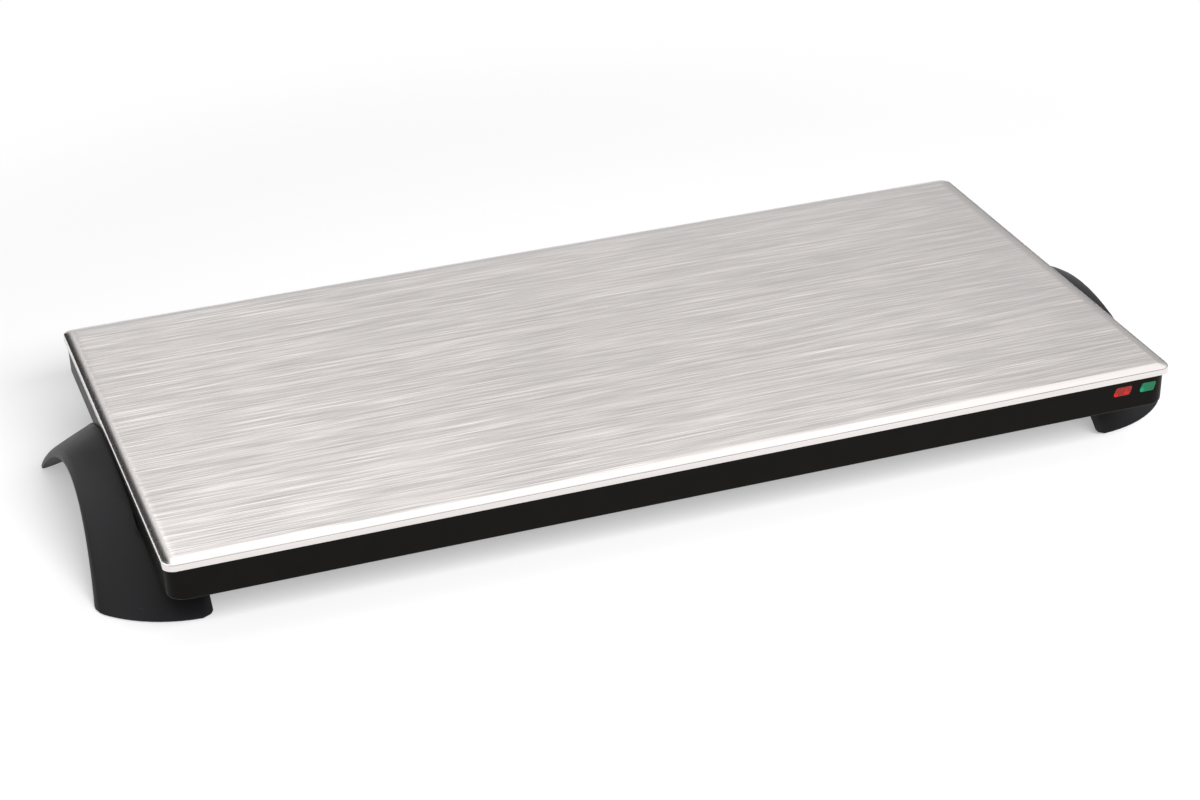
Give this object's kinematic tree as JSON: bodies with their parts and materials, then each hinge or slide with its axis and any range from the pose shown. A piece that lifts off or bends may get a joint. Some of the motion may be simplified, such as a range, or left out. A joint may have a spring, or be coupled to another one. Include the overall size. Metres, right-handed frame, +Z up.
{
  "type": "electric food warmer tray",
  "caption": "Long low countertop warming tray with a brushed steel top, a shallow black body, indicator windows and arched end pieces that serve as handles and feet.",
  "frame": {"origin": "bottom centre of the tray, on the table", "axes": "+X to the right along the long side, -Y towards the front wall with the indicator windows, +Z up out of the cooking surface"},
  "size_m": [0.663, 0.302, 0.058],
  "materials": {
    "brushed_steel": "stainless sheet, brushed lengthwise",
    "aluminium_sheet": "mill finish sheet",
    "mica": "pressed mica board",
    "resistance_ribbon": "flat resistance ribbon",
    "zinc_steel": "zinc plated",
    "mineral_wool": "mineral wool blanket",
    "black_body": "moulded, semi gloss black",
    "black_steel": "satin black paint",
    "charcoal_moulding": "moulded, fine satin grain",
    "foot_rubber": "matt",
    "red_lens": "clear red moulding, prismatic back",
    "green_lens": "clear green moulding, prismatic back",
    "lamp_glass": "clear",
    "heat_plastic": "heat resistant moulding",
    "phenolic": "phenolic moulding",
    "fuse_sleeve": "woven glass sleeve",
    "brass": "bright",
    "plated_pins": "nickel plated",
    "live_sleeve": "silicone insulation",
    "neutral_sleeve": "silicone insulation",
    "glass_sleeve": "woven glass sleeve"
  },
  "bodies": {
    "root": {"top_plate": "brushed_steel", "heat_spreader": "aluminium_sheet", "upper_mica_sheet": "mica", "heating_element": "resistance_ribbon", "lower_mica_sheet": "mica", "pressure_plate": "zinc_steel", "insulation_pad": "mineral_wool", "heat_shield": "aluminium_sheet", "body_frame": "black_body", "bottom_cover": "black_steel", "left_end_piece": "charcoal_moulding", "right_end_piece": "charcoal_moulding", "left_end_bracket": "zinc_steel", "right_end_bracket": "zinc_steel", "front_left_foot_pad": "foot_rubber", "front_right_foot_pad": "foot_rubber", "rear_left_foot_pad": "foot_rubber", "rear_right_foot_pad": "foot_rubber", "red_lens": "red_lens", "green_lens": "green_lens", "red_lamp": "lamp_glass", "green_lamp": "lamp_glass", "lamp_holder": "heat_plastic", "lamp_holder_screws": "zinc_steel", "thermostat": "phenolic", "thermostat_screws": "zinc_steel", "thermal_fuse": "fuse_sleeve", "fuse_clamp": "zinc_steel", "terminal_block": "heat_plastic", "terminal_screws": "brass", "inlet_socket": "black_body", "inlet_pins": "plated_pins", "inlet_screws": "zinc_steel", "live_wire": "live_sleeve", "neutral_wire": "neutral_sleeve", "element_wires": "glass_sleeve", "lamp_wires": "glass_sleeve", "plate_studs": "zinc_steel", "stud_nuts": "zinc_steel", "spacer_tubes": "zinc_steel", "tie_screws": "zinc_steel", "cover_screws": "zinc_steel", "end_piece_screws": "zinc_steel", "bracket_nuts": "zinc_steel"}
  },
  "joints": []
}
